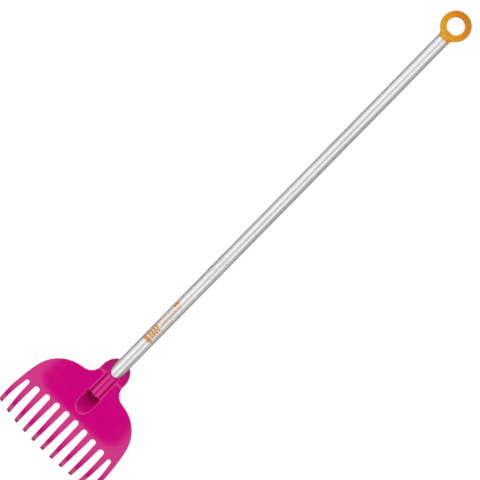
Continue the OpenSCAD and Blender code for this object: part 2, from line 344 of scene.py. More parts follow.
@dataclass(frozen=True)
class Moulder:
    """Turns distance fields into smooth closed meshes.

    Attributes:
        cell: Distance between the field's samples.
        kept: Share of the triangles that the mesh keeps. The flattest ones go first.
        large_face: Area, in squares of a cell, from which a face counts as large.
        flat_apart: How far a corner's normal may lean on a large face, as 1 minus the cosine.
        turn_from: Share of both limits at which a corner's normal starts to turn to its face's.
        reach: How far from a point its normal is read off the field, in cells.
    """

    cell: float
    kept: float
    large_face: float = 4.0
    flat_apart: float = 0.001
    turn_from: float = 0.5
    reach: float = 0.8

    def axis(self, low: float, high: float) -> Array:
        """Returns the places of the samples between two limits, the middle line between two of them."""
        first, last = math.floor(low / self.cell), math.ceil(high / self.cell)
        return ((np.arange(first, last + 1) + 0.5) * self.cell).astype(np.float32)

    def mould(
        self, name: str, half: Array, x: Array, y: Array, z: Array, place: Matrix
    ) -> bpy.types.Object:
        """Builds the mesh of a piece that is the same on its left and right.

        Args:
            name: The piece's name.
            half: The field's samples on the right half.
            x: Places of the samples across, from half a cell to the right of the middle line.
            y: Places of the samples along.
            z: Places of the samples upwards.
            place: Matrix to the row's frame.

        Returns:
            The new object, linked to the scene.
        """
        values = np.concatenate([half[::-1], half])
        origin = np.array([-x[-1], y[0], z[0]])
        points, quads = self._net(values)
        mesh = bpy.data.meshes.new(name)
        mesh.from_pydata((origin + self.cell * points).tolist(), [], quads.tolist())
        piece = add_object(name, mesh)
        thin = piece.modifiers.new("fewer_triangles", "DECIMATE")
        thin.ratio = self.kept
        depsgraph = bpy.context.evaluated_depsgraph_get()
        thinned = bpy.data.meshes.new_from_object(piece.evaluated_get(depsgraph))
        piece.modifiers.clear()
        piece.data = thinned
        thinned.name = name
        bpy.data.meshes.remove(mesh)
        found = read_out(thinned.vertices, "co", 3)
        normals = self._corner_normals(thinned, self._normals(values, (found - origin) / self.cell))
        turn = np.array(place.to_3x3())
        thinned.transform(place)
        thinned.shade_smooth()
        thinned.normals_split_custom_set((normals @ turn.T).tolist())
        thinned.update()
        return piece

    def _corner_normals(self, mesh: bpy.types.Mesh, normals: Array) -> Array:
        """Spreads the points' normals to the faces' corners, and keeps the large flat faces flat.

        Args:
            mesh: The mesh.
            normals: One unit vector per point.

        Returns:
            One unit vector per corner.
        """
        corners = read_out(mesh.loops, "vertex_index", kind=np.int32)
        sides = read_out(mesh.polygons, "loop_total", kind=np.int32)
        face = np.repeat(read_out(mesh.polygons, "normal", 3), sides, axis=0)
        large = np.repeat(read_out(mesh.polygons, "area"), sides) / (self.large_face * self.cell**2)
        large = np.clip(large - self.turn_from, 0, 1)
        point = normals[corners]
        apart = (1 - np.sum(face * point, axis=1)) / self.flat_apart
        share = (large * np.clip(apart - self.turn_from, 0, 1))[:, None]
        mixed = face * share + point * (1 - share)
        return mixed / np.linalg.norm(mixed, axis=1, keepdims=True)

    @staticmethod
    def _net(values: Array) -> tuple[Array, Array]:
        """Lays a net of quads over a field's zero surface.

        Args:
            values: The field's samples.

        Returns:
            The net's points in cells, and its quads as rows of four point numbers.
        """
        inside = values < 0
        spans = [n - 1 for n in values.shape]
        count = np.zeros(spans, np.uint8)
        corners = list(itertools.product((0, 1), repeat=3))
        for corner in corners:
            count += inside[tuple(slice(c, c + n) for c, n in zip(corner, spans))]
        crossed = (count > 0) & (count < len(corners))
        cells = np.argwhere(crossed)
        number = np.full(spans, -1, np.int64)
        number[crossed] = np.arange(len(cells))
        total, hits = np.zeros(cells.shape), np.zeros(len(cells))
        quads = []
        for along in range(3):
            step = np.eye(3, dtype=int)[along]
            side, up = (along + 1) % 3, (along + 2) % 3
            for i, j in itertools.product((0, 1), repeat=2):
                corner = np.zeros(3, int)
                corner[side], corner[up] = i, j
                low = cells + corner
                a, b = values[tuple(low.T)], values[tuple((low + step).T)]
                cut = (a < 0) != (b < 0)
                share = np.where(cut, a / np.where(cut, a - b, 1), 0)
                total += np.where(cut[:, None], low + share[:, None] * step, 0)
                hits += cut
            ahead = np.take(inside, range(1, inside.shape[along]), along)
            here = np.take(inside, range(inside.shape[along] - 1), along)
            edges = np.argwhere(here != ahead)
            held = (edges[:, side] > 0) & (edges[:, up] > 0)
            held &= (edges[:, side] < spans[side]) & (edges[:, up] < spans[up])
            edges = edges[held]
            to_side, to_up = np.eye(3, dtype=int)[side], np.eye(3, dtype=int)[up]
            ring = [edges - to_side - to_up, edges - to_up, edges, edges - to_side]
            quad = np.stack([number[tuple(c.T)] for c in ring], 1)
            outwards = here[tuple(edges.T)]
            quads.append(np.where(outwards[:, None], quad, quad[:, ::-1]))
        return total / hits[:, None], np.concatenate(quads)

    def _normals(self, values: Array, points: Array) -> Array:
        """Reads the surface's normals off a field.

        Args:
            values: The field's samples.
            points: Points on the surface, in cells.

        Returns:
            One unit vector per point.
        """

        def sample(at: Array) -> Array:
            """Reads the field between its samples.

            Args:
                at: Places in cells.

            Returns:
                The field there.
            """
            base = np.clip(np.floor(at).astype(int), 0, np.array(values.shape) - 2)
            part = at - base
            result = np.zeros(len(at))
            for corner in itertools.product((0, 1), repeat=3):
                weight = np.prod(np.where(corner, part, 1 - part), axis=1)
                result += weight * values[tuple((base + corner).T)]
            return result

        steps = self.reach * np.eye(3)
        normals = np.stack([sample(points + step) - sample(points - step) for step in steps], 1)
        return normals / np.maximum(np.linalg.norm(normals, axis=1, keepdims=True), TINY)


# Shader graphs


class Graph:
    """Adds nodes to a material's or a group's node tree, in few words."""

    def __init__(self, tree: bpy.types.NodeTree) -> None:
        """Takes the node tree to fill."""
        self.tree = tree

    def feed(self, socket: bpy.types.NodeSocket, value: Any) -> None:
        """Links a socket to another one, or sets its value.

        Args:
            socket: The socket to feed.
            value: A socket to link from, a value, or a colour without its alpha.
        """
        if isinstance(value, bpy.types.NodeSocket):
            self.tree.links.new(value, socket)
        elif socket.type == "RGBA" and len(value) == 3:
            socket.default_value = (*value, 1.0)
        else:
            socket.default_value = value

    def feed_named(self, node: bpy.types.Node, inputs: dict[str, Any]) -> None:
        """Feeds sockets of a node.

        Args:
            node: The node.
            inputs: Values by the sockets' names, with underscores for spaces.
        """
        for name, value in inputs.items():
            self.feed(node.inputs[name.replace("_", " ")], value)

    def add(self, kind: str, settings: dict[str, Any] | None = None, **inputs: Any) -> bpy.types.Node:
        """Adds a node.

        Args:
            kind: The node's type.
            settings: Properties to set on the node.
            **inputs: Values by the sockets' names, with underscores for spaces.

        Returns:
            The new node.
        """
        node = self.tree.nodes.new(kind)
        for name, value in (settings or {}).items():
            setattr(node, name, value)
        self.feed_named(node, inputs)
        return node

    def effect(self, effect: "Effect", **inputs: Any) -> Any:
        """Places a shared effect with its own input values, and returns its outputs."""
        return self.add("ShaderNodeGroup", {"node_tree": effect.tree()}, **inputs).outputs

    def place(self) -> bpy.types.NodeSocket:
        """Returns the place on the object, in metres."""
        return self.add("ShaderNodeTexCoord").outputs["Object"]

    def noise(self, vector: Any, scale: Any, **inputs: Any) -> bpy.types.NodeSocket:
        """Adds a noise and returns its value from 0 to 1."""
        return self.add("ShaderNodeTexNoise", Vector=vector, Scale=scale, **inputs).outputs[0]

    def maths(self, operation: str, *values: Any) -> bpy.types.NodeSocket:
        """Adds a Math node.

        Args:
            operation: What it works out.
            *values: What it works with.

        Returns:
            The result.
        """
        node = self.add("ShaderNodeMath", {"operation": operation})
        for socket, value in zip(node.inputs, values):
            self.feed(socket, value)
        return node.outputs[0]

    def weigh(self, first: Any, second: Any, share: float) -> bpy.types.NodeSocket:
        """Returns a share of a first value plus the rest of a second."""
        rest = self.maths("MULTIPLY", second, 1.0 - share)
        return self.maths("ADD", self.maths("MULTIPLY", first, share), rest)

    def blend(self, share: Any, first: Any, second: Any) -> bpy.types.NodeSocket:
        """Blends two colours.

        Args:
            share: Share of the second colour.
            first: The first colour.
            second: The second colour.

        Returns:
            The blended colour.
        """
        node = self.add("ShaderNodeMix", {"data_type": "RGBA"})
        for index, value in zip(MIX_INPUTS, (share, first, second)):
            self.feed(node.inputs[index], value)
        return node.outputs[MIX_RESULT]

    def between(
        self, value: Any, low: float, high: float, to_low: float = 0.0, to_high: float = 1.0
    ) -> bpy.types.NodeSocket:
        """Maps a value smoothly from one range to another.

        Args:
            value: The value.
            low: Where its range starts.
            high: Where its range ends.
            to_low: The result at the start.
            to_high: The result at the end.

        Returns:
            The result.
        """
        node = self.add("ShaderNodeMapRange", {"interpolation_type": "SMOOTHSTEP"})
        for socket, item in zip(node.inputs, (value, low, high, to_low, to_high)):
            self.feed(socket, item)
        return node.outputs[0]


@dataclass(frozen=True)
class Effect:
    """A surface effect that finishes share, as a node group that is built once.

    Attributes:
        name: The group's name.
        inputs: Its value inputs and their defaults.
        outputs: Names of its value outputs.
        fill: Takes the group's graph and its input sockets, and returns the outputs' values in order.
    """

    name: str
    inputs: dict[str, float]
    outputs: tuple[str, ...]
    fill: Callable[[Graph, Any], tuple[Any, ...]]

    def tree(self) -> bpy.types.NodeTree:
        """Builds the group if there is none yet.

        Returns:
            The group.
        """
        tree = bpy.data.node_groups.get(self.name)
        if tree is not None:
            return tree
        tree = bpy.data.node_groups.new(self.name, "ShaderNodeTree")
        for label, value in self.inputs.items():
            socket = tree.interface.new_socket(name=label, in_out="INPUT", socket_type="NodeSocketFloat")
            socket.default_value = value
        for label in self.outputs:
            tree.interface.new_socket(name=label, in_out="OUTPUT", socket_type="NodeSocketFloat")
        g = Graph(tree)
        given, out = g.add("NodeGroupInput"), g.add("NodeGroupOutput")
        for label, value in zip(self.outputs, self.fill(g, given.outputs)):
            g.feed(out.inputs[label], value)
        return tree


def moulded_skin(g: Graph, given: Any) -> tuple[Any, ...]:
    """Fills a group with moulded plastic's cloudy shade, uneven gloss and fine grain.

    Args:
        g: The group's graph.
        given: Its input sockets.

    Returns:
        Shade from 0 to 1, Gloss around 0, and Height in metres.
    """
    place = g.place()
    cloud = g.noise(place, given["Cloud Scale"], Detail=5.0, Roughness=0.55, Distortion=given["Swirl"])
    grain = g.noise(place, given["Grain Scale"], Detail=2.0)
    speck_scale = g.maths("MULTIPLY", given["Grain Scale"], given["Speck Share"])
    specks = g.add("ShaderNodeTexVoronoi", Vector=place, Scale=speck_scale).outputs[0]
    return (
        g.between(cloud, low=0.3, high=0.7),
        g.maths("SUBTRACT", g.weigh(cloud, grain, share=0.5), NOISE_MIDDLE),
        g.maths("MULTIPLY", g.weigh(grain, specks, share=0.7), given["Grain Depth"]),
    )


def drawn_lines(g: Graph, given: Any) -> tuple[Any, ...]:
    """Fills a group with the fine lines that drawing leaves along a tube.

    Args:
        g: The group's graph.
        given: Its input sockets.

    Returns:
        Lines from 0 to 1, Gloss around 0, and Height in metres.
    """
    stretched = g.add("ShaderNodeMapping", Vector=g.place(), Scale=LINE_STRETCH).outputs[0]
    fine = g.noise(stretched, given["Line Scale"], Detail=4.0, Roughness=0.6)
    broad_scale = g.maths("MULTIPLY", given["Line Scale"], given["Broad Share"])
    lines = g.weigh(fine, g.noise(stretched, broad_scale, Detail=3.0), share=0.5)
    return (
        g.between(lines, low=0.35, high=0.65),
        g.maths("SUBTRACT", lines, NOISE_MIDDLE),
        g.maths("MULTIPLY", lines, given["Line Depth"]),
    )


def thin_scuffs(g: Graph, given: Any) -> tuple[Any, ...]:
    """Fills a group with thin scattered scuffs.

    Args:
        g: The group's graph.
        given: Its input sockets.

    Returns:
        A Mask from 0 to 1.
    """
    place = g.place()
    bent = g.noise(place, given["Scale"], Detail=2.0, Distortion=1.5)
    patches = g.noise(place, g.maths("MULTIPLY", given["Scale"], given["Patch Share"]), Detail=1.0)
    off = g.maths("ABSOLUTE", g.maths("SUBTRACT", bent, NOISE_MIDDLE))
    line = g.maths("SUBTRACT", 1.0, g.maths("MINIMUM", g.maths("DIVIDE", off, given["Width"]), 1.0))
    there = g.between(patches, low=0.52, high=0.62)
    return (g.maths("MULTIPLY", g.maths("MULTIPLY", line, there), given["Amount"]),)


def printed_row(g: Graph, given: Any) -> tuple[Any, ...]:
    """Fills a group with a printed row of equal marks that runs towards -Y, or one block.

    Its place across is counted along the direction with the parts Side X, Side Y and Side Z.

    Args:
        g: The group's graph.
        given: Its input sockets.

    Returns:
        A Mask that is 1 on the marks.
    """
    place = g.add("ShaderNodeSeparateXYZ", Vector=g.place()).outputs
    side: Any = 0.0
    for axis in "XYZ":
        side = g.maths("MULTIPLY_ADD", place[axis], given[f"Side {axis}"], side)
    run = g.maths("SUBTRACT", given["Start"], place["Y"])
    past_mark = g.maths("FRACT", g.maths("DIVIDE", run, given["Pitch"]))
    phase = g.maths("MULTIPLY", past_mark, given["Pitch"])
    half_row = g.maths("MULTIPLY", given["Length"], 0.5)
    half_mark = g.maths("MULTIPLY", g.maths("MULTIPLY", given["Pitch"], given["Share"]), 0.5)
    mask: Any = 1.0
    for at, middle, half in (
        (side, given["Across"], given["Half Across"]),
        (run, half_row, half_row),
        (phase, half_mark, half_mark),
    ):
        off = g.maths("ABSOLUTE", g.maths("SUBTRACT", at, middle))
        inside = g.maths("DIVIDE", g.maths("SUBTRACT", half, off), given["Softness"])
        mask = g.maths("MULTIPLY", mask, g.add("ShaderNodeClamp", Value=inside).outputs[0])
    return (mask,)


MOULDED_SKIN = Effect(
    "moulded_plastic",
    {"Cloud Scale": 18.0, "Grain Scale": 2600.0, "Grain Depth": 0.00002, "Swirl": 0.6, "Speck Share": 0.3},
    ("Shade", "Gloss", "Height"), moulded_skin,
)
DRAWN_LINES = Effect(
    "drawn_lines", {"Line Scale": 900.0, "Broad Share": 0.15, "Line Depth": 0.000004},
    ("Lines", "Gloss", "Height"), drawn_lines,
)
THIN_SCUFFS = Effect(
    "thin_scuffs", {"Scale": 40.0, "Patch Share": 0.4, "Width": 0.01, "Amount": 0.5},
    ("Mask",), thin_scuffs,
)
PRINTED_ROW = Effect(
    "printed_row",
    {"Across": 0.0, "Start": 0.0, "Half Across": 0.005, "Length": 0.01, "Pitch": 0.01, "Share": 1.0,
     "Softness": 0.0002, "Side X": 1.0, "Side Y": 0.0, "Side Z": 0.0},
    ("Mask",), printed_row,
)


# Finishes


class Surface:
    """A material that is being made.

    Attributes:
        material: The material.
        g: Its graph.
        bsdf: Its Principled BSDF.
    """

    def __init__(self, name: str) -> None:
        """Starts the material.

        Args:
            name: Its name.
        """
        self.material = bpy.data.materials.new(name)
        self.material.use_nodes = True
        self.g = Graph(self.material.node_tree)
        self.bsdf = self.g.tree.nodes["Principled BSDF"]

    def grazed(self, limits: tuple[float, float], straight: float, grazing: float) -> Any:
        """Adds a roughness that changes where the skin is seen at a grazing angle.

        Args:
            limits: Where the change starts and ends, from 0, seen straight on, to 1.
            straight: Roughness before it.
            grazing: Roughness past it.

        Returns:
            The roughness.
        """
        facing = self.g.add("ShaderNodeLayerWeight", Blend=0.5).outputs["Facing"]
        return self.g.between(facing, *limits, straight, grazing)

    def finish(
        self, colour: Any, roughness: Any, height: Any, bump: float, **inputs: Any
    ) -> bpy.types.Material:
        """Feeds the Principled BSDF.

        Args:
            colour: The base colour.
            roughness: The roughness.
            height: Height of the skin, in metres.
            bump: How much of that height shows.
            **inputs: Further values by the sockets' names, with underscores for spaces.

        Returns:
            The finished material.
        """
        normal = self.g.add("ShaderNodeBump", Strength=bump, Distance=1.0, Height=height).outputs[0]
        skin = {"Base Color": colour, "Roughness": roughness, "Normal": normal}
        self.g.feed_named(self.bsdf, {**skin, **inputs})
        return self.material


class Scuffs(NamedTuple):
    """Thin scuffs on a skin.

    Attributes:
        scale: How close together they are.
        width: How wide they are, in the noise that they follow.
        amount: How far they cover the skin.
        roughness: How much rougher than the skin they are.
    """

    scale: float
    width: float
    amount: float
    roughness: float

    def mask(self, g: Graph) -> bpy.types.NodeSocket:
        """Adds the scuffs to a material's graph and returns where they are."""
        return g.effect(THIN_SCUFFS, Scale=self.scale, Width=self.width, Amount=self.amount)["Mask"]


class PaintedShade(NamedTuple):
    """Painted shade: a moulding's colour runs from a lighter, lit end to a darker, shaded one, as the light
    falls on it.

    Attributes:
        direction: Unit direction along which the painted shade changes.
        start: How far along it the painted shade starts to change, in metres.
        end: How far along it the change ends, in metres.
    """

    direction: tuple[float, float, float]
    start: float
    end: float

    def mask(self, g: Graph) -> bpy.types.NodeSocket:
        """Adds the painted shade's ramp to a material's graph.

        Args:
            g: The material's graph.

        Returns:
            A socket that runs from 0 to 1 along the direction.
        """
        run = g.add("ShaderNodeVectorMath", {"operation": "DOT_PRODUCT"})
        g.feed(run.inputs[0], g.place())
        g.feed(run.inputs[1], self.direction)
        return g.between(run.outputs["Value"], self.start, self.end)


@dataclass(frozen=True)
class MouldedPlastic:
    """Injection moulded polypropylene.

    Attributes:
        name: The material's name.
        colour: Base colour, and the darker, shaded end of any painted shade.
        cloud: Colour of the cloudy patches, and the lighter, lit end of any painted shade.
        worn: Colour of thin scuffs.
        roughness: Roughness of the skin.
        edge_roughness: Roughness where the skin is seen at a grazing angle.
        edge_limits: Where that sets in, from 0, seen straight on, to 1.
        specular: Specular level.
        grain: Depth of the skin's grain.
        cloud_scale: How fine the patches are.
        cloud_share: How far the patches take their own colour.
        painted_shade: Painted shade, if any: how the cloud colour takes over along the moulding, lighter
            towards the lit end.
        scuffs: The thin scuffs.
        gloss_swing: How much the roughness changes with the uneven gloss.
        bump: How much of the grain's depth shows.
    """

    name: str
    colour: Colour
    cloud: Colour
    worn: Colour
    roughness: float = 0.14
    edge_roughness: float = 0.9
    edge_limits: tuple[float, float] = (0.45, 0.75)
    specular: float = 0.43
    grain: float = 0.000005
    cloud_scale: float = 18.0
    cloud_share: float = 0.3
    painted_shade: PaintedShade | None = None
    scuffs: Scuffs = Scuffs(scale=26.0, width=0.006, amount=0.16, roughness=0.5)
    gloss_swing: float = 0.08
    bump: float = 0.55

    def build(self) -> bpy.types.Material:
        """Builds the finish.

        Returns:
            The material.
        """
        surface = Surface(self.name)
        g = surface.g
        skin = g.effect(MOULDED_SKIN, Grain_Depth=self.grain, Cloud_Scale=self.cloud_scale)
        scuffed = self.scuffs.mask(g)
        patches = g.maths("MULTIPLY", skin["Shade"], self.cloud_share)
        # Painted shade: towards the lit end the cloud colour takes over, lighter where the light falls.
        if self.painted_shade is not None:
            patches = g.maths("MULTIPLY_ADD", self.painted_shade.mask(g), 1.0 - self.cloud_share, patches)
        shaded = g.blend(patches, self.colour, self.cloud)
        matt = surface.grazed(self.edge_limits, self.roughness, self.edge_roughness)
        uneven = g.maths("MULTIPLY_ADD", skin["Gloss"], self.gloss_swing, matt)
        return surface.finish(
            g.blend(scuffed, shaded, self.worn),
            g.maths("MULTIPLY_ADD", scuffed, self.scuffs.roughness, uneven),
            skin["Height"], self.bump, Specular_IOR_Level=self.specular,
        )


@dataclass(frozen=True)
class DrawnAluminium:
    """Bare drawn aluminium with a satin skin.

    Attributes:
        name: The material's name.
        colour: Base colour.
        dull: Colour along the duller lines.
        roughness: Roughness of the skin.
        edge_roughness: Roughness where the skin is seen at a grazing angle.
        edge_limits: Where that sets in, from 0, seen straight on, to 1.
        scuffs: The thin scuffs.
        gloss_swing: How much the roughness changes from line to line.
        bump: How much of the lines' depth shows.
    """

    name: str
    colour: Colour
    dull: Colour
    roughness: float = 0.41
    edge_roughness: float = 1.0
    edge_limits: tuple[float, float] = (0.30, 0.42)
    scuffs: Scuffs = Scuffs(scale=30.0, width=0.008, amount=0.3, roughness=0.3)
    gloss_swing: float = 0.3
    bump: float = 0.5

    def build(self) -> bpy.types.Material:
        """Builds the finish.

        Returns:
            The material.
        """
        surface = Surface(self.name)
        surface.bsdf.distribution = "GGX"
        g = surface.g
        lines = g.effect(DRAWN_LINES)
        scuffed = self.scuffs.mask(g)
        drawn = g.blend(lines["Lines"], self.dull, self.colour)
        matt = surface.grazed(self.edge_limits, self.roughness, self.edge_roughness)
        uneven = g.maths("MULTIPLY_ADD", lines["Gloss"], self.gloss_swing, matt)
        return surface.finish(
            g.blend(scuffed, drawn, self.dull),
            g.maths("MULTIPLY_ADD", scuffed, self.scuffs.roughness, uneven),
            lines["Height"], self.bump, Metallic=1.0, Specular_Tint=(0.0, 0.0, 0.0),
        )


@dataclass(frozen=True)
class ZincedSteel:
    """Zinc plated steel with a cloudy, slightly yellow skin.

    Attributes:
        name: The material's name.
        colour: Base colour.
        cloudy: Colour of the cloudy patches.
        roughness: Roughness of the skin.
        cloud_scale: How fine the patches are.
        grain_scale: How fine the grain is.
        grain: Depth of the grain.
        gloss_swing: How much the roughness changes with the uneven gloss.
        bump: How much of the grain's depth shows.
    """

    name: str
    colour: Colour
    cloudy: Colour
    roughness: float = 0.36
    cloud_scale: float = 420.0
    grain_scale: float = 6000.0
    grain: float = 0.000008
    gloss_swing: float = 0.4
    bump: float = 0.5

    def build(self) -> bpy.types.Material:
        """Builds the finish.

        Returns:
            The material.
        """
        surface = Surface(self.name)
        g = surface.g
        skin = g.effect(
            MOULDED_SKIN, Cloud_Scale=self.cloud_scale, Grain_Scale=self.grain_scale, Grain_Depth=self.grain
        )
        return surface.finish(
            g.blend(skin["Shade"], self.colour, self.cloudy),
            g.maths("MULTIPLY_ADD", skin["Gloss"], self.gloss_swing, self.roughness),
            skin["Height"], self.bump, Metallic=1.0,
        )


class Print(NamedTuple):
    """A printed row of marks on a label, or one block.

    Attributes:
        across: The row's middle across the label, from the tube's axis.
        start: Where it starts along the tube, from the ring's centre.
        half_across: Half the height of its marks.
        length: Length of the row.
        marks: Number of marks.
        share: Share of the spacing that a mark fills.
    """

    across: float
    start: float
    half_across: float
    length: float
    marks: int = 1
    share: float = 1.0


@dataclass(frozen=True)
class PrintedFilm:
    """Clear film with plain printed blocks and rows of marks.

    Attributes:
        name: The material's name.
        block_ink: Colour of the printed blocks.
        row_ink: Colour of the printed rows.
        film: Colour of the film.
        blocks: The printed blocks.
        rows: The printed rows of marks.
        haze: How much of the tube each face of the bare film hides.
        face: Angle from the tube's top to the side that the print faces, to the left, in degrees.
        roughness: Roughness of the film.
        cover: How much of the tube the ink hides.
        thin_share: How far the ink thins to the film's colour where it is thinnest.
        cloud_scale: How fine the patches of thinner ink are.
        grain_scale: How fine the film's grain is.
        grain: Depth of the grain.
        gloss_swing: How much the roughness changes with the uneven gloss.
        bump: How much of the grain's depth shows.
    """

    name: str
    block_ink: Colour
    row_ink: Colour
    film: Colour
    blocks: tuple[Print, ...]
    rows: tuple[Print, ...]
    haze: float
    face: float = 0.0
    roughness: float = 0.2
    cover: float = 0.96
    thin_share: float = 0.12
    cloud_scale: float = 60.0
    grain_scale: float = 3000.0
    grain: float = 0.00001
    gloss_swing: float = 0.2
    bump: float = 0.3

    def _mask(self, g: Graph, prints: Sequence[Print], tube: TubeFrame) -> Any:
        """Adds the printed items' masks.

        Args:
            g: The material's graph.
            prints: The blocks or rows.
            tube: The tube's frame.

        Returns:
            A socket that is 1 on the ink.
        """
        turn = tube.matrix().to_3x3()
        face = math.radians(self.face)
        side = turn @ Vector((math.cos(face), 0.0, math.sin(face)))
        along = turn @ Vector((0.0, 1.0, 0.0))
        middle = tube.ring_centre.dot(side)
        mask: Any = 0.0
        for item in prints:
            start = tube.ring_centre.y - item.start * along.y
            row = g.effect(
                PRINTED_ROW, Across=middle + item.across, Start=start, Half_Across=item.half_across,
                Length=item.length, Pitch=item.length / item.marks, Share=item.share,
                Side_X=side.x, Side_Y=side.y, Side_Z=side.z,
            )
            mask = g.maths("MAXIMUM", mask, row["Mask"])
        return mask

    def build(self, tube: TubeFrame) -> bpy.types.Material:
        """Builds the finish.

        Args:
            tube: The tube's frame.

        Returns:
            The material.
        """
        surface = Surface(self.name)
        g = surface.g
        on_block, on_row = (self._mask(g, prints, tube) for prints in (self.blocks, self.rows))
        mask = g.maths("MAXIMUM", on_block, on_row)
        skin = g.effect(
            MOULDED_SKIN, Cloud_Scale=self.cloud_scale, Grain_Scale=self.grain_scale, Grain_Depth=self.grain
        )
        solid = g.blend(on_row, self.block_ink, self.row_ink)
        ink = g.blend(g.maths("MULTIPLY", skin["Shade"], self.thin_share), solid, self.film)
        return surface.finish(
            g.blend(mask, self.film, ink),
            g.maths("MULTIPLY_ADD", skin["Gloss"], self.gloss_swing, self.roughness),
            skin["Height"], self.bump,
            Alpha=g.maths("MULTIPLY_ADD", mask, self.cover - self.haze, self.haze),
        )


HEAD_PLASTIC = MouldedPlastic(
    "head_magenta", colour=(0.625, 0.0, 0.21), cloud=(0.565, 0.0, 0.185), worn=(0.67, 0.08, 0.30)
)
# Painted shade: the ring is painted lighter and yellower towards the collar and darker orange at its far
# end, as the light falls on it; colour is the shaded orange and cloud the lit yellow.
RING_PLASTIC = MouldedPlastic(
    "ring_orange", colour=(0.66, 0.185, 0.001), cloud=(0.78, 0.35, 0.003), worn=(0.82, 0.42, 0.10),
    cloud_scale=40.0, cloud_share=0.2, painted_shade=PaintedShade((-0.35, -0.937, 0.0), -0.490, -0.446),
)
TUBE_METAL = DrawnAluminium("tube_aluminium", colour=(0.78, 0.78, 0.78), dull=(0.68, 0.68, 0.68))
SCREW_STEEL = ZincedSteel("screw_zinc", colour=(0.55, 0.54, 0.50), cloudy=(0.44, 0.42, 0.34))
LOWER_LABEL = PrintedFilm(
    "label_print", block_ink=(0.70, 0.23, 0.015), row_ink=(0.66, 0.29, 0.02), film=(0.85, 0.80, 0.74),
    blocks=(Print(-0.0021, 0.7490, 0.0075, 0.0088), Print(-0.0092, 0.6700, 0.0030, 0.0110)),
    rows=(
        Print(-0.0062, 0.7240, 0.0031, 0.0240, 4, 0.80),
        Print(0.0014, 0.7262, 0.0029, 0.0218, 4, 0.74),
        Print(-0.0025, 0.7240, 0.0008, 0.0240),
        Print(-0.0012, 0.6730, 0.0025, 0.0485, 14, 0.52),
    ),
    haze=0.05,
)
UPPER_LABEL = PrintedFilm(
    "upper_label_print", block_ink=(0.05, 0.05, 0.05), row_ink=(0.05, 0.05, 0.05), film=(0.95, 0.95, 0.95),
    blocks=(Print(0.0025, 0.5598, 0.0021, 0.0024), Print(0.0025, 0.5862, 0.0021, 0.0042)),
    rows=(
        Print(0.0025, 0.5670, 0.0021, 0.0350, 4, 0.27),
        Print(-0.0022, 0.5598, 0.0009, 0.0400, 16, 0.55),
        Print(-0.0054, 0.5598, 0.0009, 0.0325, 13, 0.55),
    ),
    haze=0.075,
    face=80.0,
    roughness=0.45,
)


# Pieces


def dress(piece: bpy.types.Object, material: bpy.types.Material) -> None:
    """Gives an object its only material.

    Args:
        piece: The object.
        material: The material.
    """
    for item in piece.material_slots:
        item.material = material
    if not piece.material_slots:
        piece.data.materials.append(material)


@dataclass
class Tines:
    """The eleven tines, from the middle one outwards.

    The tables are shares of the pitch or of the root's width.

    Attributes:
        pitch: Distance between the tines.
        root_width: Width of a tine at its root.
        tip_width: Width of a tine at its tip.
        roots: Each root's place across.
        bows: How far each tine bows outwards.
        hooks: How far each tine hooks back inwards.
        widths: Each root's width.
        slot_drops: How much further down each slot starts than the middle ones.
        side_steps: Points along a tine's side.
        slot_steps: Points along a slot's round end.
    """

    pitch: float = 0.0219
    root_width: float = 0.0112
    tip_width: float = 0.007
    roots: tuple[float, ...] = (0, 1, 2, 3.01, 4.03, 4.87)
    bows: tuple[float, ...] = (0, 0, 0.01, 0.04, 0.096, 0.475)
    hooks: tuple[float, ...] = (0, 0, 0.02, 0.08, 0.19, 0.406)
    widths: tuple[float, ...] = (1, 1, 1, 1, 1, 0.875)
    slot_drops: tuple[float, ...] = (0, 0.055, 0.132, 0.265, 0.406)
    side_steps: int = 10
    slot_steps: int = 16

    def edge(self, tine: int, side: int, share: float) -> float:
        """Works out where a tine's edge lies across.

        Args:
            tine: The tine's number from the middle.
            side: 1 for its right edge, -1 for its left one.
            share: How far from root to tip.

        Returns:
            The place across.
        """
        middle = self.roots[tine] + self.bows[tine] * share - self.hooks[tine] * share**2
        width = self.root_width * self.widths[tine] * (1 - share) + self.tip_width * share
        return self.pitch * middle + side * width / 2

    def side(
        self, tine: int, side: int, root: float, length: float, spare: float
    ) -> list[tuple[float, float]]:
        """Returns a tine's side from root to tip, as points (x, y) with y = -s.

        Args:
            tine: The tine's number from the middle.
            side: 1 for its right side, -1 for its left one.
            root: Where the roots lie along the tube.
            length: Length of the middle tine, seen from above.
            spare: How far the side runs past the tip.

        Returns:
            The side's points.
        """
        last = 1 + spare / length
        shares = [last * k / self.side_steps for k in range(self.side_steps + 1)]
        return [(self.edge(tine, side, t), -root - t * length) for t in shares]

    def slot(self, tine: int, start: float) -> list[tuple[float, float]]:
        """Returns the round end of the slot past a tine, from its right to its left.

        Args:
            tine: The tine on the slot's left.
            start: Where the middle slots start along the tube.

        Returns:
            The arc's points.
        """
        left, right = self.edge(tine, 1, 0), self.edge(tine + 1, -1, 0)
        radius, middle = (right - left) / 2, (right + left) / 2
        y = -start - self.slot_drops[tine] * self.pitch - radius
        turns = [math.pi * k / self.slot_steps for k in range(self.slot_steps + 1)]
        return [(middle + radius * math.cos(a), y + radius * math.sin(a)) for a in turns]


